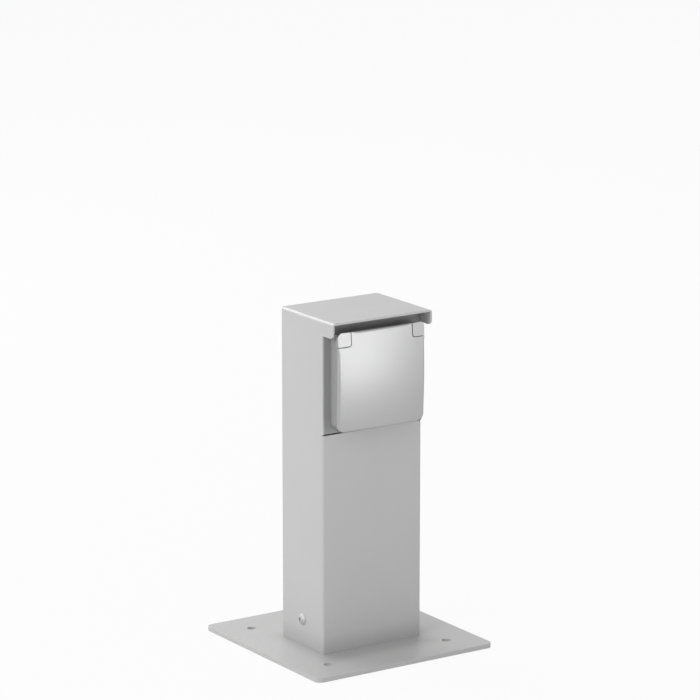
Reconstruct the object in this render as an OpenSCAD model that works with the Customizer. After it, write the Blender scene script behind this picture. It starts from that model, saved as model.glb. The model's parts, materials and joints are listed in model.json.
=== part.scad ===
// Garden socket post: a folded sheet post on a base plate, with one earthed
// socket outlet under a roof, behind a sprung hinged lid.
// Millimetres. The origin is the centre of the base plate's underside,
// +Z is up and the outlet faces -Y.

/* [Base plate] */
// Side of the square base plate
plate_w = 152; // [140:1:200]
// Thickness of the base plate
plate_t = 3.3; // [3:0.1:8]
// Radius of the base plate's corners
plate_corner_r = 5; // [2:0.5:12]
// Distance between neighbouring anchor holes
anchor_pitch = 103; // [100:1:118]
// Diameter of an anchor hole
anchor_d = 6.6; // [5.5:0.1:9]

/* [Post] */
// Overall height of the post with its plate
total_h = 250; // [240:1:400]
// Width of the post
post_w = 85; // [85:0.5:100]
// Depth of the post
post_d = 54.5; // [53:0.5:70]
// How far the post's axis stands ahead of the plate's centre
post_ahead = 3.8; // [0:0.1:8]
// Thickness of the folded sheet
sheet_t = 1.5; // [1:0.1:1.6]
// Outer radius of the upright bends
bend_r = 1.6; // [1.6:0.1:3]
// Outer radius of the bends along the roof
roof_r = 2.3; // [1.7:0.1:4]
// Reach of the roof and its cheeks in front of the post
roof_reach = 13; // [8:0.5:20]
// Height of the cheeks below the roof's top
cheek_h = 11.2; // [6:0.2:14]
// Radius of a cheek's lower front corner
cheek_r = 3.5; // [1:0.5:5]
// Height of the front opening, from its sill to the roof's top
opening_h = 84.4; // [84:0.2:100]
// Height of the relief slit beside the sill
relief_h = 1; // [0.6:0.1:1.6]

/* [Foot] */
// Height of the bracket's uprights
foot_h = 36; // [32:1:60]
// Depth of the foot bracket
foot_d = 42; // [38:1:46]
// Thickness of the foot bracket's sheet
foot_t = 2; // [1.5:0.1:3]
// Height of the side screws above the floor
side_screw_z = 23; // [20:0.5:28]
// Thread diameter of the side and foot screws
foot_screw_d = 5; // [4:0.5:5]
// Head diameter of a side screw
side_head_d = 9; // [8:0.1:10]
// Diameter of the cable hole in the plate
cable_hole_d = 28; // [22:0.5:32]
// Bore of the cable grommet
cable_bore_d = 20; // [12:0.5:20]

/* [Lid] */
// Width of the lid
lid_w = 74; // [72:0.5:75]
// Height of the lid
lid_h = 73.1; // [72:0.1:74]
// Gap between the roof's top and the lid's upper edge
lid_drop = 8; // [6:0.1:9]
// Reach of the crown's middle in front of the post
lid_reach = 14.1; // [13.5:0.1:16]
// Radius of the crowned front
lid_crown_r = 428; // [300:10:900]
// Radius of the lid's upper corners
lid_top_r = 4; // [3:0.5:5]
// Radius of the lid's lower corners
lid_low_r = 5.5; // [3:0.5:8]
// Radius along the lid's front edges
lid_edge_r = 1.6; // [0.8:0.1:2]
// Thickness of the lid's crowned wall
lid_t = 2.2; // [1.6:0.1:2.4]
// Depth of the grip lip under the lid
lip_d = 4; // [2:0.5:6]
// Thickness of the grip lip
lip_t = 1.5; // [1:0.1:1.6]
// Width of a hinge cover
ear_w = 10.6; // [9:0.1:12]
// Height of a hinge cover
ear_h = 10.3; // [9.8:0.1:11]
// Width of the fine groove round a hinge cover
ear_groove = 0.4; // [0.3:0.1:0.6]
// Diameter of the hinge pin
hinge_pin_d = 3; // [2.5:0.1:3]

/* [Carrier frame] */
// Thickness of the frame's front plate
frame_t = 2.5; // [2:0.1:3]
// Depth of the rim behind the frame's front plate
frame_rim_d = 4; // [3:0.5:6]
// Wall of the rim and the collar
frame_wall = 1.8; // [1.5:0.1:2]
// Setback of the collar's sides from the lid's edge
collar_inset = 1.5; // [1:0.1:2]

/* [Socket outlet] */
// Inner diameter of the plug recess
pot_d = 39.5; // [39:0.1:40]
// Depth of the plug recess
pot_depth = 17.5; // [15:0.1:18]
// Wall of the plug recess
pot_wall = 1.75; // [1.5:0.05:2]
// Distance between the two pin holes
pin_pitch = 19; // [18:0.1:20]
// Diameter of a pin hole
pin_hole_d = 6; // [5.5:0.1:6.5]
// Distance between the device screws
device_pitch = 60; // [59:0.5:60]
// Turn of the shutter from closed to open, in degrees
shutter_turn = 45; // [43:1:60]

/* [Wiring] */
// Height of the terminal block's middle above the floor
block_z = 105; // [90:1:130]
// Distance between neighbouring poles
pole_pitch = 15; // [14:0.5:16]
// Outer diameter of a single wire
wire_d = 2.8; // [2.4:0.1:3.2]

/* [Hidden] */
$fn = 64;

// Clearances between pieces of one body, and between moving pieces
fit = 0.2;
gap = 0.3;
// Radial play of a screw in its hole and of the pin in its bearings
screw_play = 0.1;
pin_play = 0.05;
// Overshoot of a cutting solid past the face it cuts
cut = 1;

// Faces of the post
front_y = -post_ahead - post_d / 2;
back_y = -post_ahead + post_d / 2;
inner_w = post_w - 2 * sheet_t;
inner_back_y = back_y - sheet_t;
roof_under_z = total_h - sheet_t;
roof_front_y = front_y - roof_reach;
cheek_z = total_h - cheek_h;
sill_z = total_h - opening_h;

// Lid, hinge and collar
lid_top_z = total_h - lid_drop;
lid_low_z = lid_top_z - lid_h;
lid_mid_z = (lid_top_z + lid_low_z) / 2;
lid_front_y = front_y - lid_reach;
lid_edge_drop = 1.8;
lid_back_y = lid_front_y + lid_edge_drop + lid_t;
ear_low_z = lid_top_z - ear_h;
ear_rear = 0.6;
ear_side = 1.4;
ear_in_x = lid_w / 2 - ear_w;
hinge_y = lid_back_y + 3.15;
hinge_z = lid_top_z - 5;
knuckle_r = hinge_pin_d / 2 + 1.7;
collar_x = lid_w / 2 - collar_inset;
collar_front_y = lid_back_y + gap;
collar_low_z = lid_low_z + lip_t + 0.6;
collar_top_z = ear_low_z - 1.2;
collar_mid_z = (collar_low_z + collar_top_z) / 2;
collar_h = collar_top_z - collar_low_z;

// Carrier frame and the bracket behind it
frame_y = front_y + gap;
frame_back_y = frame_y + frame_t;
web_y = frame_back_y + frame_rim_d;
web_t = 1.5;
flange_d = 18;
frame_w = inner_w - 2 * gap;
frame_low_z = sill_z + relief_h;
frame_top_z = roof_under_z - gap;
frame_hole_w = lid_w - 27;
frame_hole_h = 44;
carrier_screw_d = 3.5;
screw_hole_d = carrier_screw_d + 2 * screw_play;
carrier_screw_x = lid_w / 2 - 8.8;
carrier_screw_h = 20;
boss_d = 7;

// Socket outlet, from the cover's face to the back of the insert
outlet_z = collar_mid_z;
cover_y = collar_front_y + 1.4;
cover_t = 2;
cover_w = 2 * (collar_x - frame_wall - fit);
cover_h = collar_h - 2 * (frame_wall + fit);
floor_y = cover_y + pot_depth;
floor_t = 2;
ring_t = 1;
ring_y = frame_y - ring_t;
ring_d = cover_w - 9;
shutter_y = floor_y + floor_t + fit;
shutter_t = 1.5;
shutter_r = pin_pitch / 2 + 4.5;
shutter_hole_d = pin_hole_d + 0.8;
hub_d = 6.4;
clip_t = 1;
clip_y = shutter_y + shutter_t + 1.5;
hub_end_y = clip_y - fit;
body_y = clip_y + clip_t + fit;
body_d = 13;
body_w = frame_hole_w - 4;
body_h = 40;
rear_y = body_y + body_d;
cover_screw_d = 3.5;
cover_head_d = 6.4;
post_x = 19.5;
post_h = 16.5;
post_side = 4;
sleeve_d = 7.4;
tail_t = 1.2;
cage = 8;
cage_x = pole_pitch;
cage_z = outlet_z - 13;
cage_y = rear_y + tail_t;
clamp_d = 3;
wire_top_y = cage_y + cage / 2;

// Terminal block on its rail
rail_t = 1.5;
rail_y = inner_back_y - rail_t;
rail_w = 70;
rail_h = 46;
block_w = 3 * pole_pitch;
block_d = 16;
block_h = 22;
block_y = rail_y - block_d;
wire_low_y = rail_y - block_d / 2;
tube_d = 5.6;
stud_x = 29;
stud_l = 15;

// Cable hole and foot
foot_w = inner_w - 2 * fit;
foot_screw_x = 30;
foot_screw_y = foot_d / 2 - 7;
nut_flat = 8;
nut_h = 4;
foot_top_z = plate_t + foot_t;

// Plain helpers
// Rectangle with round corners, centred
module rounded_rect(w, h, r) {
    square([w - 2 * r, h], center = true);
    square([w, h - 2 * r], center = true);
    for (x = [-1, 1], y = [-1, 1])
        translate([x * (w / 2 - r), y * (h / 2 - r)]) circle(r);
}

// What a fillet takes off a corner at the origin, material towards + +
module corner_cut(r) {
    difference() {
        translate([-cut, -cut]) square(r + cut);
        translate([r, r]) circle(r);
    }
}

// Solid between two Y planes from an outline drawn in X and Z
module slab_y(y0, y1) {
    translate([0, y1, 0]) rotate([90, 0, 0]) linear_extrude(y1 - y0) children();
}

// Solid between two X planes from an outline drawn in Y and Z
module slab_x(x0, x1) {
    translate([x0, 0, 0]) rotate([90, 0, 90]) linear_extrude(x1 - x0) children();
}

// Box between two corners
module box(low, high) {
    translate(low) cube(high - low);
}

// Round bar along Y or X
module bar_y(x, z, y0, y1, d) {
    translate([x, y0, z]) rotate([-90, 0, 0]) cylinder(d = d, h = y1 - y0);
}

module bar_x(y, z, x0, x1, d) {
    translate([x0, y, z]) rotate([0, 90, 0]) cylinder(d = d, h = x1 - x0);
}

// Hexagonal prism with a bore, standing on its face
module hex_nut(flat, h, bore) {
    difference() {
        cylinder(d = flat / cos(30), h = h, $fn = 6);
        translate([0, 0, -cut]) cylinder(d = bore, h = h + 2 * cut);
    }
}

// Screw standing head down on z = 0, with its shank up and a cross or a slot
module pan_screw(d, head_d, head_h, l) {
    difference() {
        translate([0, 0, -head_h]) cylinder(d = head_d, h = head_h);
        translate([0, 0, -head_h]) cube([head_d * 0.8, 0.8, head_h], center = true);
    }
    cylinder(d = d, h = l);
}

// Coil of wire round the Z axis with a straight leg at each end
module coil(r, wire, pitch, turns, legs, start) {
    sides = 6;
    step = 20;
    count = turns * 360 / step;
    path = concat(
        [[-legs[0], start]],
        [for (i = [0:count]) [0, start + i * step]],
        [[legs[1], start + turns * 360]]
    );
    n = len(path);
    points = [
        for (i = [0:n - 1], s = [0:sides - 1])
            let (
                a = path[i][1],
                b = s * 360 / sides,
                out = r + wire / 2 * cos(b),
                along = path[i][0],
                rise = (a - start) / 360 * pitch + wire / 2 * sin(b)
            )
            [out * cos(a) - along * sin(a), out * sin(a) + along * cos(a), rise]
    ];
    polyhedron(points, tube_faces(n, sides), convexity = 6);
}

// Base plate and foot
module base_plate() {
    color("silver") difference() {
        linear_extrude(plate_t) rounded_rect(plate_w, plate_w, plate_corner_r);
        for (x = [-1, 1], y = [-1, 1])
            translate([x * anchor_pitch / 2, y * anchor_pitch / 2, -cut])
                cylinder(d = anchor_d, h = plate_t + 2 * cut);
        translate([0, -post_ahead, -cut])
            cylinder(d = cable_hole_d, h = plate_t + 2 * cut);
        at_foot_screws() {
            translate([0, 0, -cut])
                cylinder(d = foot_screw_d + 4 * screw_play, h = plate_t + 2 * cut);
            countersink(foot_screw_d + 5, foot_screw_d, 0);
        }
    }
}

module at_foot_screws() {
    for (x = [-1, 1], y = [-1, 1])
        translate([x * foot_screw_x, y * foot_screw_y - post_ahead, 0]) children();
}

// Cone at 45 degrees that narrows upwards from z
module countersink(wide, narrow, z) {
    translate([0, 0, z]) cylinder(d1 = wide, d2 = narrow, h = (wide - narrow) / 2);
}

module foot_bracket() {
    w = foot_w;
    h = foot_h;
    color("gainsboro") difference() {
        translate([0, -post_ahead + foot_d / 2, 0]) rotate([90, 0, 0])
            linear_extrude(foot_d) difference() {
                translate([0, plate_t + h]) rounded_rect(w, 2 * h, foot_t + 1);
                translate([0, plate_t + h])
                    rounded_rect(w - 2 * foot_t, 2 * (h - foot_t), 1);
                translate([-w, plate_t + h]) square([2 * w, 2 * h]);
            }
        translate([0, -post_ahead, 0])
            cylinder(d = cable_hole_d + 9, h = foot_top_z + cut);
        at_foot_screws()
            cylinder(d = foot_screw_d + 4 * screw_play, h = foot_top_z + cut);
        bar_x(-post_ahead, side_screw_z, -post_w, post_w, foot_screw_d + 2 * screw_play);
    }
}

module foot_screws() {
    color("dimgray") at_foot_screws() {
        countersink(foot_screw_d + 4.2, foot_screw_d, fit);
        translate([0, 0, fit]) cylinder(d = foot_screw_d, h = foot_top_z + nut_h + cut);
    }
}

module foot_nuts() {
    color("dimgray") at_foot_screws() translate([0, 0, foot_top_z])
        hex_nut(nut_flat, nut_h, foot_screw_d + 2 * screw_play);
}

// Rubber bush: a body in the plate's hole and a flange on the plate
module cable_grommet() {
    color("black") translate([0, -post_ahead, 0]) rotate_extrude()
        translate([cable_bore_d / 2, 0]) difference() {
            union() {
                translate([0, fit])
                    square([(cable_hole_d - cable_bore_d) / 2 - fit, plate_t]);
                translate([0, plate_t]) square([(cable_hole_d - cable_bore_d) / 2 + 4, 2.5]);
            }
            translate([(cable_hole_d - cable_bore_d) / 2 + 4, plate_t + 2.5])
                rotate(180) corner_cut(1.2);
        }
}

// Outline of the folded housing from the side, with the roof's overhang
module side_outline() {
    difference() {
        polygon([
            [back_y, plate_t], [back_y, total_h],
            [roof_front_y, total_h], [roof_front_y, cheek_z],
            [front_y, cheek_z], [front_y, plate_t]
        ]);
        translate([roof_front_y, cheek_z]) corner_cut(cheek_r);
    }
}

// Outline of the housing from the front, with the roof's two round bends
module arch_outline(w, top, r) {
    difference() {
        translate([-w / 2, 0]) square([w, top]);
        for (side = [0, 1])
            mirror([side, 0]) translate([-w / 2, top]) mirror([0, 1]) corner_cut(r);
    }
}

// Outline of the housing from above: all four bends, or only the rear ones
module plan_outline(front, front_bends) {
    difference() {
        translate([-post_w / 2, front]) square([post_w, back_y - front]);
        for (side = [0, 1]) mirror([side, 0]) {
            translate([-post_w / 2, back_y]) mirror([0, 1]) corner_cut(bend_r);
            if (front_bends) translate([-post_w / 2, front]) corner_cut(bend_r);
        }
    }
}

module housing() {
    color("silver") difference() {
        intersection() {
            slab_x(-post_w / 2, post_w / 2) side_outline();
            slab_y(roof_front_y, back_y) arch_outline(post_w, total_h, roof_r);
            union() {
                linear_extrude(sill_z) plan_outline(front_y, true);
                translate([0, 0, sill_z]) linear_extrude(opening_h)
                    plan_outline(roof_front_y, false);
            }
        }
        slab_y(front_y + sheet_t, inner_back_y)
            arch_outline(inner_w, roof_under_z, roof_r - sheet_t);
        translate([0, 0, sill_z]) slab_y(roof_front_y - cut, inner_back_y - cut)
            arch_outline(inner_w, roof_under_z - sill_z, roof_r - sheet_t);
        box([-post_w, front_y - cut, sill_z], [post_w, front_y + sheet_t, sill_z + relief_h]);
        bar_x(-post_ahead, side_screw_z, -post_w, post_w, foot_screw_d + 5 * screw_play);
    }
}

// Button-head screws through the side walls into the foot bracket
module side_screws() {
    head_h = 2.4;
    key_d = 3 / cos(30);
    dome_r = (pow(side_head_d / 2, 2) + pow(head_h, 2)) / (2 * head_h);
    color("silver") for (side = [0, 1]) mirror([side, 0])
        translate([post_w / 2, -post_ahead, side_screw_z]) rotate([0, 90, 0]) {
            difference() {
                intersection() {
                    cylinder(d = side_head_d, h = head_h);
                    translate([0, 0, head_h - dome_r]) sphere(dome_r);
                }
                translate([0, 0, head_h - 1.6]) cylinder(d = key_d, h = 2, $fn = 6);
            }
            translate([0, 0, -sheet_t - fit - foot_t - nut_h])
                cylinder(d = foot_screw_d, h = sheet_t + fit + foot_t + nut_h);
        }
}

module side_nuts() {
    color("dimgray") for (side = [0, 1]) mirror([side, 0])
        translate([foot_w / 2 - foot_t, -post_ahead, side_screw_z]) rotate([0, -90, 0])
            hex_nut(nut_flat, nut_h, foot_screw_d + 2 * screw_play);
}

// Bracket welded inside the post, which the carrier frame is screwed to
module mounting_bracket() {
    w = inner_w - 2 * fit;
    h = frame_top_z - frame_low_z - 2;
    mid_z = (frame_top_z + frame_low_z) / 2;
    color("gainsboro") difference() {
        translate([0, 0, mid_z - h / 2]) linear_extrude(h) difference() {
            translate([0, web_y + flange_d]) rounded_rect(w, 2 * flange_d, 2.5);
            translate([0, web_y + flange_d])
                rounded_rect(w - 2 * web_t, 2 * (flange_d - web_t), 1);
            translate([-w, web_y + flange_d]) square([2 * w, 2 * flange_d]);
        }
        slab_y(web_y - cut, web_y + web_t + cut) translate([0, outlet_z])
            rounded_rect(frame_hole_w + 1, frame_hole_h + 10, 3);
        at_carrier_screws() bar_y(0, 0, web_y - cut, web_y + web_t + cut, screw_hole_d);
    }
}

module at_carrier_screws() {
    for (x = [-1, 1], z = [-1, 1])
        translate([x * carrier_screw_x, 0, outlet_z + z * carrier_screw_h]) children();
}

// Outline of a bearing block of the hinge, in Y and Z
module bearing_outline() {
    translate([hinge_y, hinge_z]) circle(knuckle_r);
    translate([hinge_y - 0.8, collar_top_z - frame_wall])
        square([frame_back_y - hinge_y - frame_t / 2, hinge_z + 0.5 - collar_top_z + frame_wall]);
}

module carrier_frame() {
    mid_z = (frame_top_z + frame_low_z) / 2;
    h = frame_top_z - frame_low_z;
    color("dimgray") difference() {
        union() {
            slab_y(frame_y, frame_back_y) translate([0, mid_z]) rounded_rect(frame_w, h, 0.8);
            slab_y(frame_y, web_y) difference() {
                translate([0, mid_z]) rounded_rect(frame_w, h, 0.8);
                translate([0, mid_z])
                    rounded_rect(frame_w - 2 * frame_wall, h - 2 * frame_wall, 0.5);
            }
            slab_y(collar_front_y, frame_back_y) difference() {
                translate([0, collar_mid_z]) rounded_rect(2 * collar_x, collar_h, 4);
                translate([0, collar_mid_z])
                    rounded_rect(2 * (collar_x - frame_wall), collar_h - 2 * frame_wall, 2.2);
            }
            for (side = [0, 1]) mirror([side, 0])
                slab_x(ear_in_x + gap + fit, collar_x) bearing_outline();
            at_carrier_screws() bar_y(0, 0, frame_y, web_y, boss_d);
            for (side = [-1, 1])
                bar_y(side * device_pitch / 2, outlet_z, frame_y, web_y - gap, boss_d);
        }
        slab_y(frame_y - cut, frame_back_y + cut) translate([0, outlet_z])
            rounded_rect(frame_hole_w, frame_hole_h, 4);
        at_carrier_screws() bar_y(0, 0, frame_y - cut, web_y + cut, screw_hole_d);
        for (side = [-1, 1])
            bar_y(side * device_pitch / 2, outlet_z, frame_y - cut, web_y + cut, screw_hole_d);
        bar_x(hinge_y, hinge_z, -lid_w, lid_w, hinge_pin_d + 2 * pin_play);
    }
}

module carrier_screws() {
    color("silver") at_carrier_screws() translate([0, frame_y, 0]) rotate([-90, 0, 0])
        pan_screw(carrier_screw_d, 5.6, 1.8, web_y + web_t + 2 - frame_y);
}

// Metal ring that carries the insert
module support_ring() {
    color("gainsboro") difference() {
        slab_y(ring_y, frame_y) translate([0, outlet_z]) difference() {
            union() {
                intersection() {
                    circle(d = ring_d);
                    square([ring_d, cover_h - 4], center = true);
                }
                rounded_rect(cover_w - 1, 14, 3);
            }
            circle(d = pot_d + 2 * pot_wall + 2 * gap);
        }
        for (side = [-1, 1]) {
            bar_y(side * device_pitch / 2, outlet_z, ring_y - cut, frame_y + cut, screw_hole_d);
        }
        at_posts() bar_y(0, 0, ring_y - cut, frame_y + cut, 2.6);
    }
}

module at_posts() {
    for (x = [-1, 1], z = [-1, 1])
        translate([x * post_x, 0, outlet_z + z * post_h]) children();
}

module ring_rivets() {
    color("silver") at_posts() {
        bar_y(0, 0, ring_y - 0.8, ring_y, 3.8);
        bar_y(0, 0, ring_y, frame_y + 4, 2.4);
    }
}

module device_screws() {
    color("silver") for (side = [-1, 1])
        translate([side * device_pitch / 2, ring_y, outlet_z]) rotate([-90, 0, 0])
            pan_screw(carrier_screw_d, 5.6, 1.6, web_y - ring_y - 1);
}

// Moulded base of the insert with its posts, contact chambers and side guards
module insert_body() {
    color("whitesmoke") difference() {
        union() {
            slab_y(body_y, rear_y) translate([0, outlet_z]) rounded_rect(body_w, body_h, 3);
            at_posts() box([-post_side / 2, frame_y, -post_side / 2],
                           [post_side / 2, body_y + cut, post_side / 2]);
            for (side = [-1, 1])
                translate([side * (body_w / 2 - 0.75), rear_y + 4, outlet_z])
                    cube([1.5, 10, body_h - 8], center = true);
            for (side = [-1, 1])
                translate([side * (cage / 2 + 1.3), rear_y + 3, cage_z])
                    cube([1.2, 8, 10], center = true);
        }
        for (side = [-1, 1])
            bar_y(side * pin_pitch / 2, outlet_z, body_y - cut, rear_y + cut,
                  sleeve_d + 2 * fit);
        bar_y(0, outlet_z, body_y - cut, body_y + 9, cover_screw_d + 2 * screw_play);
        at_posts() bar_y(0, 0, frame_y - cut, frame_y + 5, 2.6);
    }
}

// Screw clamp of a contact: a block with a wire hole from below
module cage_block(x) {
    difference() {
        translate([x, cage_y + cage / 2, cage_z]) cube(cage, center = true);
        translate([x, wire_top_y, cage_z - cage]) cylinder(d = wire_d, h = cage + 2);
        bar_y(x, cage_z, wire_top_y, cage_y + cage + cut, clamp_d + 2 * screw_play);
    }
}

// Tulip contact: a slit sleeve, a tail plate behind the body and the clamp
module contact(side) {
    x = side * pin_pitch / 2;
    slit_l = 8;
    color("goldenrod") {
        difference() {
            bar_y(x, outlet_z, body_y + 0.8, rear_y, sleeve_d);
            bar_y(x, outlet_z, body_y, rear_y - 1, pin_hole_d - 1);
            translate([x, body_y, outlet_z]) cube([0.8, 2 * slit_l, 2 * sleeve_d], center = true);
        }
        slab_y(rear_y, rear_y + tail_t) {
            translate([side * cage_x, cage_z + cage / 4])
                square([cage, cage * 1.5], center = true);
            translate([(x + side * cage_x) / 2, outlet_z - sleeve_d / 2])
                square([cage_x - pin_pitch / 2 + sleeve_d - 2, sleeve_d], center = true);
        }
        cage_block(side * cage_x);
    }
}

module contact_live() {
    contact(-1);
}

module contact_neutral() {
    contact(1);
}

// One arm of the earth clip, in Y and Z: it bulges towards the plug
module clip_arm() {
    tip_y = floor_y - pot_depth * 0.7;
    far = pot_d / 2 - 1.2;
    bulge = 2.4;
    polygon([
        [clip_y + clip_t, far], [floor_y - 3, far], [floor_y - pot_depth * 0.45, far - bulge],
        [tip_y, far], [tip_y, far - clip_t], [floor_y - pot_depth * 0.45, far - bulge - clip_t],
        [floor_y - 3, far - clip_t], [clip_y + clip_t, far - clip_t]
    ]);
}

module earth_clip() {
    far = pot_d / 2 - 1.2;
    low = body_h / 2 + fit + clip_t;
    color("gold") {
        difference() {
            slab_y(clip_y, clip_y + clip_t) translate([0, outlet_z]) union() {
                square([8, 2 * far], center = true);
                translate([-2.75, -low]) square([5.5, low]);
            }
            bar_y(0, outlet_z, clip_y - cut, clip_y + clip_t + cut, cover_screw_d + 1);
        }
        for (side = [0, 1]) translate([0, 0, outlet_z]) mirror([0, 0, side])
            slab_x(-2.75, 2.75) clip_arm();
        box([-2.75, clip_y, outlet_z - low], [2.75, cage_y, outlet_z - low + clip_t]);
        box([-2.75, rear_y + fit, outlet_z - low], [2.75, cage_y, cage_z]);
        cage_block(0);
    }
}

module contact_screws() {
    color("silver") for (x = [-cage_x, 0, cage_x])
        translate([x, cage_y + cage, cage_z]) rotate([90, 0, 0])
            pan_screw(clamp_d, 4.6, 1.4, cage / 2 - wire_d / 2 - fit);
}

// Cover with the moulded plug recess: rim, floor, guide ribs, pin holes and hub
module socket_cover() {
    out_d = pot_d + 2 * pot_wall;
    rib_w = 4.8;
    rib_h = 1.7;
    slot_far = pot_d / 2 - 0.4;
    slot_near = pot_d / 2 - 3.4;
    color("whitesmoke") difference() {
        union() {
            difference() {
                union() {
                    slab_y(cover_y, cover_y + cover_t) translate([0, outlet_z])
                        rounded_rect(cover_w, cover_h, 2);
                    slab_y(cover_y, frame_y) translate([0, outlet_z]) difference() {
                        rounded_rect(cover_w, cover_h, 2);
                        square([cover_w - 3, cover_h - 3], center = true);
                        square([cover_w + cut, 16], center = true);
                    }
                    bar_y(0, outlet_z, cover_y, floor_y + floor_t, out_d);
                }
                bar_y(0, outlet_z, cover_y - cut, floor_y, pot_d);
                translate([0, cover_y, outlet_z]) rotate([-90, 0, 0])
                    translate([0, 0, -fit]) cylinder(d1 = pot_d + 2, d2 = pot_d, h = 1 + fit);
            }
            for (side = [-1, 1])
                translate([side * (pot_d / 2 - rib_h / 2 + 0.2), (cover_y + floor_y) / 2 + 1, outlet_z])
                    cube([rib_h, pot_depth - 2, rib_w], center = true);
            bar_y(0, outlet_z, floor_y, hub_end_y, hub_d);
        }
        for (side = [-1, 1]) {
            bar_y(side * pin_pitch / 2, outlet_z, floor_y - cut, floor_y + floor_t + cut,
                  pin_hole_d);
            translate([0, floor_y + floor_t / 2, outlet_z + side * (slot_far + slot_near) / 2])
                cube([7, floor_t + 2 * cut, slot_far - slot_near], center = true);
        }
        bar_y(0, outlet_z, floor_y - cut, hub_end_y + cut, cover_screw_d + 2 * screw_play);
        translate([0, floor_y - 0.3, outlet_z]) rotate([-90, 0, 0])
            cylinder(d1 = cover_head_d + 0.8, d2 = cover_screw_d, h = (cover_head_d + 0.8 - cover_screw_d) / 2);
    }
}

module cover_screw() {
    head_y = floor_y - 0.1;
    color("silver") difference() {
        union() {
            translate([0, head_y, outlet_z]) rotate([-90, 0, 0])
                cylinder(d1 = cover_head_d, d2 = cover_screw_d,
                         h = (cover_head_d - cover_screw_d) / 2);
            bar_y(0, outlet_z, head_y, body_y + 8, cover_screw_d);
        }
        translate([0, head_y, outlet_z]) cube([0.9, 1.2, cover_head_d * 1.2], center = true);
    }
}

// Child-safe shutter: a disc on the cover's hub that closes both pin holes
module shutter() {
    color("dimgray") difference() {
        bar_y(0, outlet_z, shutter_y, shutter_y + shutter_t, 2 * shutter_r);
        bar_y(0, outlet_z, shutter_y - cut, shutter_y + shutter_t + cut, hub_d + 2 * pin_play);
        for (side = [0, 180])
            translate([0, 0, outlet_z]) rotate([0, shutter_turn + side, 0])
                bar_y(pin_pitch / 2, 0, shutter_y - cut, shutter_y + shutter_t + cut,
                      shutter_hole_d);
    }
}

module shutter_spring() {
    wire = 0.5;
    color("silver") translate([0, shutter_y + shutter_t + wire / 2 + 0.1, outlet_z])
        rotate([-90, 0, 0]) coil(hub_d / 2 + 0.5, wire, wire + 0.1, 1, [5, 5], 20);
}

// Hinge pin with the lid's return spring wound round it
module hinge_pin() {
    color("silver") bar_x(hinge_y, hinge_z, -collar_x + fit, collar_x - fit, hinge_pin_d);
}

module lid_spring() {
    wire = 0.7;
    turns = 11;
    pitch = wire + 0.2;
    rear_leg = frame_y - hinge_y - gap;
    front_leg = hinge_z - collar_top_z - 2 * gap;
    color("silver") translate([-turns * pitch / 2, hinge_y, hinge_z]) rotate([0, 90, 0])
        coil(hinge_pin_d / 2 + gap + wire / 2, wire, pitch, turns + 0.25,
             [rear_leg, front_leg], 180);
}

// Ball that gives the lid its crown, set back by an inset
module crown(inset) {
    translate([0, lid_front_y + inset + lid_crown_r, lid_mid_z]) rotate([90, 0, 0])
        sphere(lid_crown_r, $fn = 256);
}

// Block with the lid's outline and round front edges, not yet crowned
module lid_block(rear) {
    intersection() {
        slab_y(lid_front_y, rear) difference() {
            translate([-lid_w / 2, lid_low_z]) square([lid_w, lid_h]);
            for (side = [0, 1]) mirror([side, 0]) {
                translate([-lid_w / 2, lid_low_z]) corner_cut(lid_low_r);
                translate([-lid_w / 2, lid_top_z]) mirror([0, 1]) corner_cut(lid_top_r);
            }
        }
        translate([0, 0, lid_low_z]) linear_extrude(lid_h) lid_edges(lid_w, rear);
        translate([0, 0, lid_mid_z]) rotate([0, 90, 0]) translate([0, 0, -lid_w / 2])
            linear_extrude(lid_w) lid_edges(lid_h, rear);
    }
}

// Section across the lid, with its two front edges rounded
module lid_edges(w, rear) {
    edge_y = lid_front_y + lid_edge_drop;
    difference() {
        translate([-w / 2, edge_y]) square([w, rear - edge_y]);
        for (side = [0, 1])
            mirror([side, 0]) translate([-w / 2, edge_y]) corner_cut(lid_edge_r);
    }
    translate([-w / 2 + lid_edge_r, lid_front_y]) square([w - 2 * lid_edge_r, lid_edge_drop + cut]);
}

// Outline of a hinge cover on the right, in X and Z, grown by a margin
module ear_outline(margin) {
    difference() {
        translate([ear_in_x - margin, ear_low_z - margin])
            square([ear_w + margin + cut, ear_h + margin + cut]);
        translate([ear_in_x - margin, ear_low_z - margin]) corner_cut(2 + margin);
    }
}

module lid() {
    color("lightgray") difference() {
        union() {
            intersection() {
                lid_block(lid_back_y);
                crown(0);
            }
            intersection() {
                slab_y(lid_front_y + 2 * lid_edge_drop, lid_back_y + lip_d) difference() {
                    translate([-lid_w / 2, lid_low_z]) square([lid_w, lip_t]);
                    for (side = [0, 1])
                        mirror([side, 0]) translate([-lid_w / 2, lid_low_z]) corner_cut(lid_low_r);
                }
                slab_x(-lid_w, lid_w) translate([lid_front_y, lid_low_z]) square([20, lip_t]);
            }
            for (side = [0, 1]) mirror([side, 0]) slab_x(ear_in_x - 5, ear_in_x - ear_groove) {
                translate([hinge_y, hinge_z]) circle(knuckle_r);
                translate([lid_back_y - cut, hinge_z - knuckle_r])
                    square([hinge_y - lid_back_y + cut, 2 * knuckle_r]);
            }
        }
        for (side = [0, 1]) mirror([side, 0])
            slab_y(lid_front_y - cut, lid_back_y + cut) ear_outline(ear_groove);
        intersection() {
            slab_y(lid_front_y, lid_back_y + cut) translate([0, outlet_z])
                rounded_rect(lid_w - 18, frame_hole_h, 4);
            crown(lid_t);
        }
        bar_x(hinge_y, hinge_z, -lid_w, lid_w, hinge_pin_d + pin_play);
    }
}

// Soft frame on the lid's inside that meets the cover's rim
module lid_seal() {
    color("black") slab_y(lid_back_y, cover_y - gap) translate([0, outlet_z]) difference() {
        rounded_rect(cover_w - 2, cover_h - 3, 5);
        rounded_rect(cover_w - 8, cover_h - 9, 2);
    }
}

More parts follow.
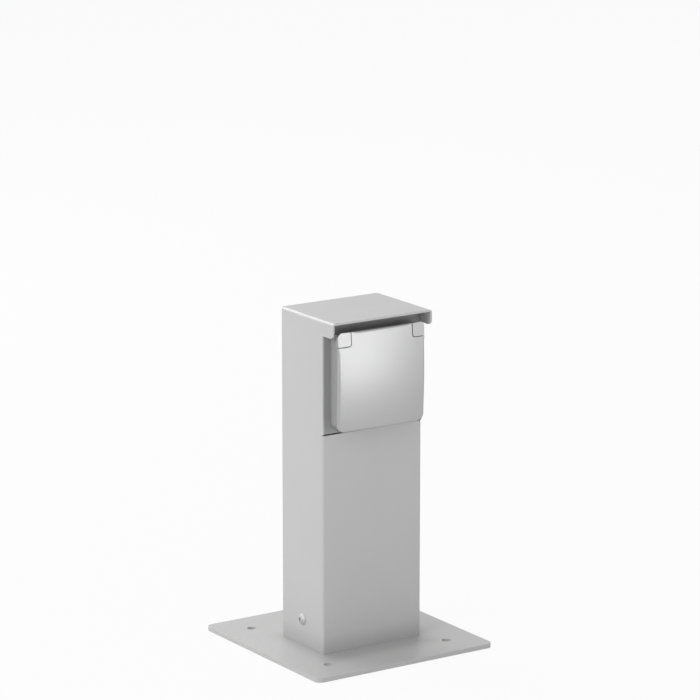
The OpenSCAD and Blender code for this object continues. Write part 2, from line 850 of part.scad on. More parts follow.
// Block whose front touches the crown at the middle of the right hinge cover
module ear_face() {
    x = lid_w / 2 - ear_w / 2;
    z = lid_h / 2 - ear_h / 2;
    lean = asin(z / lid_crown_r);
    swing = asin(x / (lid_crown_r * cos(lean)));
    side = 3 * ear_h;
    translate([0, lid_front_y + lid_crown_r, lid_mid_z]) rotate([-lean, 0, swing])
        translate([-side / 2, -lid_crown_r, -side / 2]) cube(side);
}

// Cap over one end of the hinge, hollow round the bearing block
module hinge_cover() {
    color("lightgray") difference() {
        union() {
            intersection() {
                lid_block(lid_back_y + ear_rear);
                ear_face();
                slab_y(lid_front_y - cut, lid_back_y + cut) ear_outline(0);
            }
            slab_x(collar_x + gap, lid_w / 2) translate([lid_back_y, ear_low_z])
                square([ear_side, ear_h - lid_top_r]);
        }
        bar_x(hinge_y, hinge_z, ear_in_x - cut, collar_x + gap, 2 * (knuckle_r + gap));
    }
}

module hinge_cover_left() {
    mirror([1, 0, 0]) hinge_cover();
}

module hinge_cover_right() {
    hinge_cover();
}

// Rail on the back wall with the terminal block and the earth stud
module terminal_rail() {
    color("gainsboro") difference() {
        slab_y(rail_y, inner_back_y) translate([0, block_z]) rounded_rect(rail_w, rail_h, 2);
        at_block_screws() bar_y(0, 0, rail_y - cut, inner_back_y + cut, clamp_d + 2 * screw_play);
        bar_y(stud_x, block_z, rail_y - cut, inner_back_y + cut, 5 + 2 * screw_play);
    }
}

module at_block_screws() {
    for (side = [-1, 1]) translate([side * pole_pitch / 2, 0, block_z]) children();
}

module at_poles() {
    for (i = [-1:1]) translate([i * pole_pitch, wire_low_y, block_z]) children();
}

module terminal_block() {
    color("ivory") difference() {
        slab_y(block_y, rail_y) translate([0, block_z]) rounded_rect(block_w, block_h, 1);
        at_poles() translate([0, 0, -block_h]) cylinder(d = tube_d + 2 * screw_play, h = 2 * block_h);
        at_poles() for (z = [-1, 1])
            bar_y(0, z * block_h / 4, -block_d, 0, 4.2);
        at_block_screws() bar_y(0, 0, block_y - cut, rail_y + cut, clamp_d + 2 * screw_play);
        at_block_screws() bar_y(0, 0, block_y - cut, block_y + 3, 6);
        for (i = [-1, 1]) translate([i * pole_pitch / 2, block_y, block_z])
            cube([1, 4, block_h + cut], center = true);
    }
}

module terminal_sleeves() {
    color("goldenrod") at_poles() difference() {
        translate([0, 0, -block_h / 2 + 1]) cylinder(d = tube_d, h = block_h - 2);
        translate([0, 0, -block_h]) cylinder(d = wire_d, h = 2 * block_h);
        for (z = [-1, 1])
            bar_y(0, z * block_h / 4, -tube_d, 0, clamp_d + 2 * screw_play);
    }
}

module terminal_screws() {
    color("silver") at_poles() for (z = [-1, 1])
        translate([0, -tube_d / 2 - 1.5, z * block_h / 4]) difference() {
            bar_y(0, 0, 0, 1.5 + tube_d / 2 - wire_d / 2 - 0.1, clamp_d);
            cube([clamp_d * 2, 1, 0.6], center = true);
        }
}

module block_screws() {
    color("silver") at_block_screws() translate([0, block_y + 3, 0]) rotate([-90, 0, 0])
        pan_screw(clamp_d, 5.4, 1.6, block_d - 3 + rail_t);
}

module earth_stud() {
    color("silver") bar_y(stud_x, block_z, inner_back_y - stud_l, inner_back_y, 5);
}

module earth_washers() {
    color("gainsboro") for (i = [0, 1]) difference() {
        bar_y(stud_x, block_z, rail_y - 1 - i * 1.2, rail_y - i * 1.2, 10);
        bar_y(stud_x, block_z, rail_y - 8, rail_y, 5 + 2 * screw_play);
    }
}

module earth_nut() {
    color("silver") translate([stud_x, rail_y - 2.4, block_z]) rotate([90, 0, 0])
        hex_nut(nut_flat, nut_h, 5 + 2 * screw_play);
}

// Single wire from a clamp above to a pole below, with one soft S-bend.
// Each ring of the tube is [y, z, direction of its normal, diameter].
module wire(x, shade) {
    sides = 10;
    steps = 6;
    bend = 20;
    core = wire_d - 1.2;
    shift = wire_low_y - wire_top_y;
    turn = acos(1 - shift / (2 * bend));
    rise = 2 * bend * sin(turn);
    top_z = cage_z - cage / 2 - 0.1;
    low_z = block_z + block_h / 2 + 0.1;
    mid_z = (top_z + low_z) / 2;
    path = concat(
        [[wire_top_y, top_z + 4, 180, core], [wire_top_y, top_z, 180, core],
         [wire_top_y, top_z, 180, wire_d]],
        [for (i = [0:steps]) let (a = 180 + turn * i / steps)
            [wire_top_y + bend + bend * cos(a), mid_z + rise / 2 + bend * sin(a), a, wire_d]],
        [for (i = [1:steps]) let (a = turn * (1 - i / steps))
            [wire_low_y - bend + bend * cos(a), mid_z - rise / 2 + bend * sin(a), a + 180, wire_d]],
        [[wire_low_y, low_z, 180, wire_d], [wire_low_y, low_z, 180, core],
         [wire_low_y, low_z - 6, 180, core]]
    );
    n = len(path);
    points = [
        for (p = path, i = [0:sides - 1])
            let (a = i * 360 / sides, out = p[3] / 2 * cos(a))
            [x + p[3] / 2 * sin(a), p[0] + out * cos(p[2]), p[1] + out * sin(p[2])]
    ];
    color(shade) polyhedron(points, tube_faces(n, sides), convexity = 4);
}

// Faces of a closed tube from its rings, one after another
function tube_faces(n, sides) = concat(
    [[for (s = [0:sides - 1]) s]],
    [for (i = [0:n - 2], s = [0:sides - 1])
        [i * sides + s, (i + 1) * sides + s,
         (i + 1) * sides + (s + 1) % sides, i * sides + (s + 1) % sides]],
    [[for (s = [sides - 1:-1:0]) (n - 1) * sides + s]]
);

module wire_live() {
    wire(-pole_pitch, "saddlebrown");
}

module wire_neutral() {
    wire(pole_pitch, "royalblue");
}

module wire_earth() {
    wire(0, "yellowgreen");
}

base_plate();
foot_bracket();
foot_screws();
foot_nuts();
cable_grommet();
housing();
side_screws();
side_nuts();
mounting_bracket();
carrier_frame();
carrier_screws();
support_ring();
ring_rivets();
device_screws();
insert_body();
contact_live();
contact_neutral();
earth_clip();
contact_screws();
socket_cover();
cover_screw();
shutter();
shutter_spring();
hinge_pin();
lid_spring();
lid();
lid_seal();
hinge_cover_left();
hinge_cover_right();
terminal_rail();
terminal_block();
terminal_sleeves();
terminal_screws();
block_screws();
earth_stud();
earth_washers();
earth_nut();
wire_live();
wire_neutral();
wire_earth();
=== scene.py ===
"""Garden socket post: surfaces, softened edges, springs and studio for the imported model."""

import json
import math

import bmesh
import bpy
from bpy.props import FloatProperty, FloatVectorProperty, IntProperty, PointerProperty
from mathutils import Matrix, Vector


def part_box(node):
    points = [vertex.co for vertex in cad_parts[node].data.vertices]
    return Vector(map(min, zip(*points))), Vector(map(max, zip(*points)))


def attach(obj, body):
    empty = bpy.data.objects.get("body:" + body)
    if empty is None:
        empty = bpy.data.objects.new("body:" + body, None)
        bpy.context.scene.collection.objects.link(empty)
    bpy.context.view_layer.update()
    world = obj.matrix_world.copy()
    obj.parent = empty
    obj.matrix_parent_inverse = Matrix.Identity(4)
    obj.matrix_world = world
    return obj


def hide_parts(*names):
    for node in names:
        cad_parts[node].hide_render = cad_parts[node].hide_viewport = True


bl_info = {
    "name": "Garden Socket Post",
    "version": (1, 0, 0),
    "blender": (4, 5, 0),
    "location": "View3D > Sidebar > Socket Post",
    "description": "Dresses a low garden post with a lidded socket outlet",
    "category": "Add Mesh",
}

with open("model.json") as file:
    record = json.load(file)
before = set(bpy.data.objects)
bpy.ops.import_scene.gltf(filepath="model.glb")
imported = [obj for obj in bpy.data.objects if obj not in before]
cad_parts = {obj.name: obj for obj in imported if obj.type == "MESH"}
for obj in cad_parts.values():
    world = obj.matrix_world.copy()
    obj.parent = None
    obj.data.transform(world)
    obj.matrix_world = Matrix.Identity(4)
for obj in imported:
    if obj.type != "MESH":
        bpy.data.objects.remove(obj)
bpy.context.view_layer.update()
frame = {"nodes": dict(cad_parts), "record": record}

MM = 0.001

# Height of the outlet's middle, and the radius of the shutter spring's ring
OUTLET_Z = 200.75 * MM
SHUTTER_RING = 3.7 * MM

# The lid's crown, wall at the rim, hollow (half width, half height) and corner roundings
LID_CROWN = 428 * MM
LID_RIM_DEPTH = 4.0 * MM
LID_HOLLOW = (28.2 * MM, 23 * MM)
LID_SKIN = 1.5 * MM
LID_LOW_CORNER = 5.5 * MM
LID_NOTCH_CORNER = 2.4 * MM
LID_TOP_CORNER = 0.4 * MM
LID_GROOVE = 0.4 * MM

# The plate's coat comes out a little darker than the post's
PLATE_SHADE = 0.95

# Colours of dust, and of the painted shade at the post's foot and on the plate round it
DUST = (0.55, 0.53, 0.49)
PAINTED_SHADE = (0.2, 0.2, 0.2)

# Lamps: name, place, size and power; each faces the post, but the panel faces up
STAGE_MIDDLE = (0, 0, 0.16)
LAMPS = (
    ("left_soft", (-1.9, -0.3, 1.1), (1.8, 1.8), 21.0),
    ("rear_rim", (-0.4, 1.75, 1.3), (2.0, 0.6), 19.0),
    ("front_soft", (0.85, -1.6, 0.24), (0.8, 0.44), 2.0),
    ("front_fill", (-0.1, -1.9, 0.2), (0.7, 0.4), 2.4),
)
FLOOR_PANEL = ("floor_panel", (0.45, -1.0, 0.012), (0.45, -1.0, 1), (0.36, 0.36), 2.5)

# Nodes whose edges are rounded, with the width of the rounding in millimetres
SOFT_EDGES = {
    "base_plate": 0.35,
    "foot_bracket": 0.25,
    "housing": 0.22,
    "side_screws": 0.3,
    "mounting_bracket": 0.2,
    "carrier_frame": 0.3,
    "socket_cover": 0.35,
    "insert_body": 0.3,
    "shutter": 0.2,
    "lid_seal": 0.4,
    "hinge_cover_left": 0.35,
    "hinge_cover_right": 0.35,
    "terminal_rail": 0.25,
    "terminal_block": 0.3,
    "cable_grommet": 0.6,
    "earth_nut": 0.25,
    "foot_nuts": 0.35,
    "contact_live": 0.15,
    "contact_neutral": 0.15,
    "earth_clip": 0.15,
}

# Nodes whose pierced flat faces are cut into triangles before the rounding
TRIANGLES_FIRST = {"base_plate", "socket_cover", "foot_nuts", "earth_clip"}


# Shader node groups


def new_group(name, inputs, outputs):
    """Empty shader node group with float inputs given as name: default."""
    group = bpy.data.node_groups.new(name, "ShaderNodeTree")
    for label, value in inputs.items():
        socket = group.interface.new_socket(
            label, in_out="INPUT", socket_type="NodeSocketFloat"
        )
        socket.default_value = value
    for label, kind in outputs.items():
        group.interface.new_socket(label, in_out="OUTPUT", socket_type=kind)
    return group, group.nodes.new("NodeGroupInput"), group.nodes.new("NodeGroupOutput")


def math_node(tree, operation, a, b=None):
    """Math node fed by sockets or plain numbers; returns its output."""
    node = tree.nodes.new("ShaderNodeMath")
    node.operation = operation
    for slot, value in zip(node.inputs, (a, b)):
        if value is None:
            continue
        if isinstance(value, (int, float)):
            slot.default_value = value
        else:
            tree.links.new(value, slot)
    return node.outputs[0]


def noise(tree, scale, detail=2.0, rough=0.5, stretch=(1, 1, 1)):
    """Noise in the object's own coordinates, in metres."""
    coords = tree.nodes.new("ShaderNodeTexCoord")
    mapping = tree.nodes.new("ShaderNodeMapping")
    mapping.inputs["Scale"].default_value = stretch
    texture = tree.nodes.new("ShaderNodeTexNoise")
    texture.inputs["Detail"].default_value = detail
    texture.inputs["Roughness"].default_value = rough
    tree.links.new(coords.outputs["Object"], mapping.inputs["Vector"])
    tree.links.new(mapping.outputs["Vector"], texture.inputs["Vector"])
    if isinstance(scale, (int, float)):
        texture.inputs["Scale"].default_value = scale
    else:
        tree.links.new(scale, texture.inputs["Scale"])
    return texture.outputs["Fac"]


def grain_group():
    """Fine surface grain: a height, and a roughness that varies with it."""
    group, source, sink = new_group(
        "fine_grain",
        {"Size": 0.0004, "Depth": 1.0, "Base Roughness": 0.45, "Spread": 0.08},
        {"Height": "NodeSocketFloat", "Roughness": "NodeSocketFloat"},
    )
    scale = math_node(group, "DIVIDE", 1.0, source.outputs["Size"])
    fine = noise(group, scale, 3.0, 0.55)
    broad = noise(group, 35.0, 2.0)
    height = math_node(group, "MULTIPLY", fine, source.outputs["Depth"])
    mixed = math_node(group, "ADD", fine, broad)
    centred = math_node(group, "SUBTRACT", mixed, 1.0)
    swing = math_node(group, "MULTIPLY", centred, source.outputs["Spread"])
    rough = math_node(group, "ADD", swing, source.outputs["Base Roughness"])
    group.links.new(height, sink.inputs["Height"])
    group.links.new(rough, sink.inputs["Roughness"])
    return group


def tone_group():
    """Slow unevenness of colour, and a mask low down on the piece: for dust on most pieces, for
    painted shade at the post's foot.
    """
    group, source, sink = new_group(
        "uneven_tone",
        {"Strength": 0.03, "Dust": 0.04, "Dust Height": 0.02},
        {"Factor": "NodeSocketFloat", "Dust Mask": "NodeSocketFloat"},
    )
    broad = noise(group, 22.0, 3.0, 0.6)
    centred = math_node(group, "SUBTRACT", broad, 0.5)
    swing = math_node(group, "MULTIPLY", centred, source.outputs["Strength"])
    factor = math_node(group, "ADD", swing, 1.0)
    coords = group.nodes.new("ShaderNodeTexCoord")
    split = group.nodes.new("ShaderNodeSeparateXYZ")
    group.links.new(coords.outputs["Object"], split.inputs[0])
    ratio = math_node(group, "DIVIDE", split.outputs["Z"], source.outputs["Dust Height"])
    low = math_node(group, "SUBTRACT", 1.0, ratio)
    low = math_node(group, "MAXIMUM", low, 0.0)
    speckle = noise(group, 900.0, 4.0, 0.7)
    dust = math_node(group, "MULTIPLY", low, speckle)
    dust = math_node(group, "MULTIPLY", dust, source.outputs["Dust"])
    group.links.new(factor, sink.inputs["Factor"])
    group.links.new(dust, sink.inputs["Dust Mask"])
    return group


def brushed_group():
    """Fine parallel lines along X, as on rolled or turned metal."""
    group, source, sink = new_group(
        "fine_lines",
        {"Spacing": 0.00025, "Base Roughness": 0.32, "Spread": 0.12},
        {"Height": "NodeSocketFloat", "Roughness": "NodeSocketFloat"},
    )
    scale = math_node(group, "DIVIDE", 1.0, source.outputs["Spacing"])
    lines = noise(group, scale, 2.0, 0.5, (0.06, 1, 1))
    centred = math_node(group, "SUBTRACT", lines, 0.5)
    swing = math_node(group, "MULTIPLY", centred, source.outputs["Spread"])
    rough = math_node(group, "ADD", swing, source.outputs["Base Roughness"])
    group.links.new(lines, sink.inputs["Height"])
    group.links.new(rough, sink.inputs["Roughness"])
    return group


def shared_groups():
    makers = {
        "fine_grain": grain_group,
        "uneven_tone": tone_group,
        "fine_lines": brushed_group,
    }
    return {name: bpy.data.node_groups.get(name) or make() for name, make in makers.items()}


def place(tree, group, **values):
    """Group node in a material, with its values set."""
    node = tree.nodes.new("ShaderNodeGroup")
    node.node_tree = group
    for label, value in values.items():
        node.inputs[label.replace("_", " ")].default_value = value
    return node


# Materials


def look(name):
    """Finished material by its plain name."""
    return bpy.data.materials[name + "_look"]


def start_material(name):
    material = bpy.data.materials.new(name + "_look")
    material.use_nodes = True
    tree = material.node_tree
    return material, tree, tree.nodes["Principled BSDF"]


def toned(tree, shader, colour, strength, dust, dust_height=0.02, soil=DUST):
    """Base colour with uneven tone, mixed low down towards a second colour: pale dust on most
    pieces, painted shade at the post's foot.
    """
    tone = place(
        tree, shared_groups()["uneven_tone"],
        Strength=strength, Dust=dust, Dust_Height=dust_height,
    )
    scaled = tree.nodes.new("ShaderNodeVectorMath")
    scaled.operation = "SCALE"
    scaled.inputs[0].default_value = colour[:3]
    tree.links.new(tone.outputs["Factor"], scaled.inputs["Scale"])
    mix = tree.nodes.new("ShaderNodeMix")
    mix.data_type = "RGBA"
    mix.inputs["B"].default_value = (*soil, 1)
    tree.links.new(tone.outputs["Dust Mask"], mix.inputs["Factor"])
    tree.links.new(scaled.outputs[0], mix.inputs["A"])
    tree.links.new(mix.outputs["Result"], shader.inputs["Base Color"])


def textured(tree, shader, group_name, bump, depth, **values):
    """Height and roughness from a shared group."""
    node = place(tree, shared_groups()[group_name], **values)
    tree.links.new(node.outputs["Roughness"], shader.inputs["Roughness"])
    relief = tree.nodes.new("ShaderNodeBump")
    relief.inputs["Strength"].default_value = bump
    relief.inputs["Distance"].default_value = depth
    tree.links.new(node.outputs["Height"], relief.inputs["Height"])
    tree.links.new(relief.outputs["Normal"], shader.inputs["Normal"])


def coated(name, colour, rough, metal=0.0, size=0.0005, bump=0.18, tone=0.035, dust=0.05,
           **low_down):
    """Powder coat or plastic with a fine grain; low_down sets the height and colour of the tint
    low down, which is dust on most pieces and painted shade at the post's foot.
    """
    material, tree, shader = start_material(name)
    shader.inputs["Metallic"].default_value = metal
    toned(tree, shader, colour, tone, dust, **low_down)
    textured(
        tree, shader, "fine_grain", bump, 0.00005,
        Size=size, Base_Roughness=rough, Spread=0.06,
    )
    return material


def soiled_round(material, low, high, reach=14 * MM, strength=0.55):
    """Painted shade on a level surface, in a band round the foot that stands on it, darkest at
    the foot and broken by speckle.
    """
    tree = material.node_tree
    coords = tree.nodes.new("ShaderNodeTexCoord")
    split = tree.nodes.new("ShaderNodeSeparateXYZ")
    tree.links.new(coords.outputs["Object"], split.inputs[0])
    spans = []
    for axis, start, end in (("X", low.x, high.x), ("Y", low.y, high.y)):
        offset = math_node(tree, "SUBTRACT", split.outputs[axis], (start + end) / 2)
        offset = math_node(tree, "ABSOLUTE", offset)
        beyond = math_node(tree, "SUBTRACT", offset, (end - start) / 2)
        span = math_node(tree, "MAXIMUM", beyond, 0.0)
        spans.append(math_node(tree, "POWER", span, 2.0))
    away = math_node(tree, "POWER", math_node(tree, "ADD", *spans), 0.5)
    near = math_node(tree, "SUBTRACT", 1.0, math_node(tree, "DIVIDE", away, reach))
    near = math_node(tree, "POWER", math_node(tree, "MAXIMUM", near, 0.0), 1.6)
    speckle = noise(tree, 700.0, 4.0, 0.65)
    mask = math_node(tree, "MULTIPLY", math_node(tree, "MULTIPLY", near, speckle), strength)
    shader = tree.nodes["Principled BSDF"]
    mix = tree.nodes.new("ShaderNodeMix")
    mix.data_type = "RGBA"
    mix.inputs["B"].default_value = (*PAINTED_SHADE, 1)
    tree.links.new(mask, mix.inputs["Factor"])
    tree.links.new(shader.inputs["Base Color"].links[0].from_socket, mix.inputs["A"])
    tree.links.new(mix.outputs["Result"], shader.inputs["Base Color"])


def metal(name, colour, rough, spacing=0.00025, spread=0.14):
    """Bare or plated metal with fine lines."""
    material, tree, shader = start_material(name)
    shader.inputs["Metallic"].default_value = 1.0
    toned(tree, shader, colour, 0.08, 0.0)
    textured(
        tree, shader, "fine_lines", 0.12, 0.00004,
        Spacing=spacing, Base_Roughness=rough, Spread=spread,
    )
    return material


def striped_wire(name, first, second, centre):
    """Wire sleeve in two colours, one on each side of its own middle plane."""
    material, tree, shader = start_material(name)
    coords = tree.nodes.new("ShaderNodeTexCoord")
    split = tree.nodes.new("ShaderNodeSeparateXYZ")
    tree.links.new(coords.outputs["Object"], split.inputs[0])
    side = math_node(tree, "GREATER_THAN", split.outputs["X"], centre)
    mix = tree.nodes.new("ShaderNodeMix")
    mix.data_type = "RGBA"
    mix.inputs["A"].default_value = first
    mix.inputs["B"].default_value = second
    tree.links.new(side, mix.inputs["Factor"])
    tree.links.new(mix.outputs["Result"], shader.inputs["Base Color"])
    textured(
        tree, shader, "fine_grain", 0.1, 0.00003,
        Size=0.0008, Base_Roughness=0.4, Spread=0.05,
    )
    return material


# Pieces


def softened(node, material, width=0.0, smooth=32.0):
    """Copy of a node's shape with its sharp edges rounded by width metres."""
    source = frame["nodes"][node].data
    mesh = bpy.data.meshes.new(node + "_surface")
    mesh.from_pydata(
        [v.co.copy() for v in source.vertices], [], [list(p.vertices) for p in source.polygons]
    )
    shape = bmesh.new()
    shape.from_mesh(mesh)
    bmesh.ops.remove_doubles(shape, verts=shape.verts, dist=1e-6)
    bmesh.ops.dissolve_limit(
        shape, angle_limit=math.radians(0.4), verts=shape.verts, edges=shape.edges
    )
    if node in TRIANGLES_FIRST:
        bmesh.ops.triangulate(shape, faces=shape.faces)
    for face in shape.faces:
        face.smooth = True
    shape.to_mesh(mesh)
    shape.free()
    mesh.set_sharp_from_angle(angle=math.radians(smooth))
    piece = bpy.data.objects.new(node + "_surface", mesh)
    bpy.context.scene.collection.objects.link(piece)
    mesh.materials.append(material)
    if width:
        bevel = piece.modifiers.new("rounded edges", "BEVEL")
        bevel.width = width
        bevel.segments = 3
        bevel.limit_method = "ANGLE"
        bevel.angle_limit = math.radians(smooth)
        bevel.harden_normals = True
    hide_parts(node)
    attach(piece, body_name(node))
    return piece


def body_name(node):
    """Name of the body that a node belongs to."""
    for name, nodes in frame["record"]["behaviour"]["bodies"].items():
        if node in nodes:
            return name
    raise RuntimeError("no body holds " + node)


def dress(node, material):
    """Rounded copy of a node, or the node itself, in its finish."""
    if node in SOFT_EDGES:
        piece = softened(node, material, SOFT_EDGES[node] * MM)
        return piece
    piece = frame["nodes"][node]
    piece.data.materials.clear()
    piece.data.materials.append(material)
    return piece


def rod(name, points, radius, material, body, nodes):
    """Round wire through points, as a smooth curve."""
    curve = bpy.data.curves.new(name, "CURVE")
    curve.dimensions = "3D"
    curve.bevel_depth = radius
    curve.bevel_resolution = 4
    curve.use_fill_caps = True
    spline = curve.splines.new("POLY")
    spline.points.add(len(points) - 1)
    for point, place_at in zip(spline.points, points):
        point.co = (*place_at, 1)
    spline.use_smooth = True
    curve.materials.append(material)
    piece = bpy.data.objects.new(name, curve)
    bpy.context.scene.collection.objects.link(piece)
    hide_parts(*nodes)
    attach(piece, body)
    return piece


def filleted(corners, step=math.radians(9), stretch=2.5 * MM):
    """Closed outline through (x, z, radius) corners, as points with inward normals.

    The corners run anticlockwise, so the inside is on the left of each side.
    """
    outline = []
    count = len(corners)
    for i in range(count):
        here = Vector(corners[i][:2])
        before = (here - Vector(corners[i - 1][:2])).normalized()
        after = (Vector(corners[(i + 1) % count][:2]) - here).normalized()
        turn = before.x * after.y - before.y * after.x
        side = 1 if turn > 0 else -1
        radius = corners[i][2]
        start = here - before * radius
        inward = Vector((-before.y, before.x))
        centre = start + inward * radius * side
        if outline:
            last = outline[-1][0]
            pieces = max(1, int((start - last).length / stretch))
            for k in range(1, pieces):
                outline.append((last.lerp(start, k / pieces), inward))
        angle = math.atan2(abs(turn), before.dot(after))
        bends = max(2, int(angle / step))
        for k in range(bends + 1):
            a = side * angle * k / bends
            spoke = Vector((
                inward.x * math.cos(a) - inward.y * math.sin(a),
                inward.x * math.sin(a) + inward.y * math.cos(a),
            ))
            outline.append((centre - spoke * radius * side, spoke))
    first = outline[0][0]
    last = outline[-1][0]
    pieces = max(1, int((first - last).length / stretch))
    for k in range(1, pieces):
        outline.append((last.lerp(first, k / pieces), outline[-1][1]))
    return outline


def crowned_front(shape, outline, centre, front, back, round_at):
    """Skin of a crowned plate: rounded rim, front in one shallow dome, straight sides."""

    def dome(point):
        return front + point.length_squared / (2 * LID_CROWN)

    rings = []
    edge = [
        (point, normal, min(round_at(point), back - dome(point) - 0.1 * MM))
        for point, normal in outline
    ]
    rings.append([(point, back) for point, _, _ in edge])
    for degrees in (0, 15, 30, 45, 60, 75, 90):
        a = math.radians(degrees)
        ring = []
        for point, normal, w in edge:
            moved = point + normal * w * (1 - math.cos(a))
            ring.append((moved, dome(moved) + w * (1 - math.sin(a))))
        rings.append(ring)
    rim = [point for point, _ in rings[-1]]
    for scale in (0.985, 0.955, 0.9, 0.82, 0.72, 0.6, 0.46, 0.3, 0.15):
        rings.append([(point * scale, dome(point * scale)) for point in rim])
    layers = [
        [shape.verts.new((centre[0] + p.x, y, centre[1] + p.y)) for p, y in ring]
        for ring in rings
    ]
    count = len(outline)
    skin = [shape.faces.new(layers[-1])]
    for outer, inner in zip(layers, layers[1:]):
        for i in range(count):
            j = (i + 1) % count
            skin.append(shape.faces.new((outer[i], outer[j], inner[j], inner[i])))
    skin[0].normal_update()
    if skin[0].normal.y > 0:
        bmesh.ops.reverse_faces(shape, faces=skin)


def lid_shell(material):
    """Lid with an even rounded rim; its hollow back, lip and knuckles follow the node."""
    low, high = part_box("lid")
    ear_low, ear_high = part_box("hinge_cover_right")
    half_w = high.x
    half_h = (high.z - low.z) / 2
    centre = (0.0, (high.z + low.z) / 2)
    notch_x = ear_low.x - LID_GROOVE
    notch_z = ear_low.z - LID_GROOVE - centre[1]
    front, back = low.y, low.y + LID_RIM_DEPTH
    outline = filleted([
        (-half_w, -half_h, LID_LOW_CORNER),
        (half_w, -half_h, LID_LOW_CORNER),
        (half_w, notch_z, LID_TOP_CORNER),
        (notch_x, notch_z, LID_NOTCH_CORNER),
        (notch_x, half_h, LID_TOP_CORNER),
        (-notch_x, half_h, LID_TOP_CORNER),
        (-notch_x, notch_z, LID_NOTCH_CORNER),
        (-half_w, notch_z, LID_TOP_CORNER),
    ])

    def round_at(point):
        """Small radius along the grooves, growing to the rim's own within 4 mm."""
        across = notch_x - abs(point.x)
        down = notch_z - point.y
        away = max(across, down, 0.0)
        share = min(away / (4 * MM), 1.0)
        return (0.3 + 1.3 * share * share * (3 - 2 * share)) * MM

    shape = bmesh.new()
    source = frame["nodes"]["lid"].data
    mesh = bpy.data.meshes.new("lid_shell")
    mesh.from_pydata(
        [v.co.copy() for v in source.vertices], [], [list(p.vertices) for p in source.polygons]
    )
    shape.from_mesh(mesh)
    bmesh.ops.remove_doubles(shape, verts=shape.verts, dist=1e-6)
    gone = []
    for face in shape.faces:
        middle = face.calc_center_median()
        flat = Vector((middle.x, middle.z - centre[1]))
        dome = front + flat.length_squared / (2 * LID_CROWN)
        in_hollow = abs(flat.x) < LID_HOLLOW[0] and abs(flat.y) < LID_HOLLOW[1]
        if middle.y < back - 0.03 * MM and not (in_hollow and middle.y > dome + LID_SKIN):
            gone.append(face)
    bmesh.ops.delete(shape, geom=gone, context="FACES")
    crowned_front(shape, outline, centre, front, back, round_at)
    for face in shape.faces:
        face.smooth = True
    shape.to_mesh(mesh)
    shape.free()
    mesh.set_sharp_from_angle(angle=math.radians(32))
    mesh.materials.append(material)
    piece = bpy.data.objects.new("lid_shell", mesh)
    bpy.context.scene.collection.objects.link(piece)
    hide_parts("lid")
    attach(piece, body_name("lid"))
    return piece


# Sizes and finishes that a user may change


class SocketPostSizes(bpy.types.PropertyGroup):
    lid_wire: FloatProperty(
        name="Lid spring wire", description="Diameter of the lid spring's wire",
        default=0.7 * MM, unit="LENGTH", precision=5,
    )
    lid_turns: IntProperty(
        name="Lid spring turns", description="Turns of wire round the hinge pin", default=11
    )
    camera_azimuth: FloatProperty(
        name="Camera azimuth", description="Angle of the view round the post",
        default=math.radians(-33.563), subtype="ANGLE",
    )
    camera_elevation: FloatProperty(
        name="Camera elevation", description="Angle of the view above the ground",
        default=math.radians(13.336), subtype="ANGLE",
    )
    camera_distance: FloatProperty(
        name="Camera distance", description="From the camera to the point it looks at",
        default=2.728, unit="LENGTH",
    )
    camera_lens: FloatProperty(
        name="Camera lens", description="Focal length in millimetres", default=194.94
    )


class SocketPostFinish(bpy.types.PropertyGroup):
    coat: FloatVectorProperty(
        name="Powder coat", description="Colour of the post and its plate",
        default=(0.6, 0.6, 0.6), subtype="COLOR",
    )
    lid: FloatVectorProperty(
        name="Lid", description="Colour of the lid and its hinge covers",
        default=(0.42, 0.42, 0.423), subtype="COLOR",
    )
    frame: FloatVectorProperty(
        name="Frame", description="Colour of the frame behind the lid",
        default=(0.39, 0.39, 0.395), subtype="COLOR",
    )
    cover: FloatVectorProperty(
        name="Outlet cover", description="Colour of the cover round the plug recess",
        default=(0.5, 0.5, 0.505), subtype="COLOR",
    )


def finish():
    return bpy.context.scene.socket_post_finish


def sizes():
    return bpy.context.scene.socket_post_sizes


# Operators


class SocketPostPlate(bpy.types.Operator):
    """Ground plate with the foot bracket, its screws and the cable grommet"""

    bl_idname = "socket_post.plate"
    bl_label = "Ground Plate"

    def execute(self, context):
        shade = [PLATE_SHADE * c for c in finish().coat]
        coat = coated("plate_powder_coat", shade, 0.42, metal=0.1, size=0.0006, dust=0.08)
        # Painted shade on the plate, in a band round the post's foot
        soiled_round(coat, *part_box("housing"))
        zinc = metal("zinc_plate", (0.58, 0.59, 0.6), 0.36)
        rubber = coated(
            "black_rubber", (0.03, 0.03, 0.03), 0.72, size=0.0012, bump=0.3, tone=0.2
        )
        dress("base_plate", coat)
        dress("cable_grommet", rubber)
        for node in ("foot_bracket", "foot_screws", "foot_nuts"):
            dress(node, zinc)
        return {"FINISHED"}


class SocketPostShell(bpy.types.Operator):
    """Folded sheet post with its two side screws"""

    bl_idname = "socket_post.shell"
    bl_label = "Post Shell"

    def execute(self, context):
        # The post's coat darkens within 17 mm of the ground towards the dark colour: painted
        # shade at its foot
        coat = coated(
            "post_powder_coat", finish().coat, 0.42, metal=0.1, size=0.0006, dust=0.75,
            dust_height=0.017, soil=PAINTED_SHADE,
        )
        steel = metal("stainless", (0.6, 0.6, 0.6), 0.3)
        dress("housing", coat)
        satin = coated("satin_screw", (0.55, 0.55, 0.55), 0.5, metal=0.35, dust=0.0)
        dress("side_screws", satin)
        dress("side_nuts", look("zinc_plate"))
        return {"FINISHED"}


class SocketPostCarrier(bpy.types.Operator):
    """Dark frame in the post's opening, with the bracket and screws behind it"""

    bl_idname = "socket_post.carrier"
    bl_label = "Carrier Frame"

    def execute(self, context):
        dark = coated("frame_plastic", finish().frame, 0.55, size=0.0008, bump=0.3)
        zinc = look("zinc_plate")
        dress("carrier_frame", dark)
        for node in ("mounting_bracket", "carrier_screws"):
            dress(node, zinc)
        return {"FINISHED"}


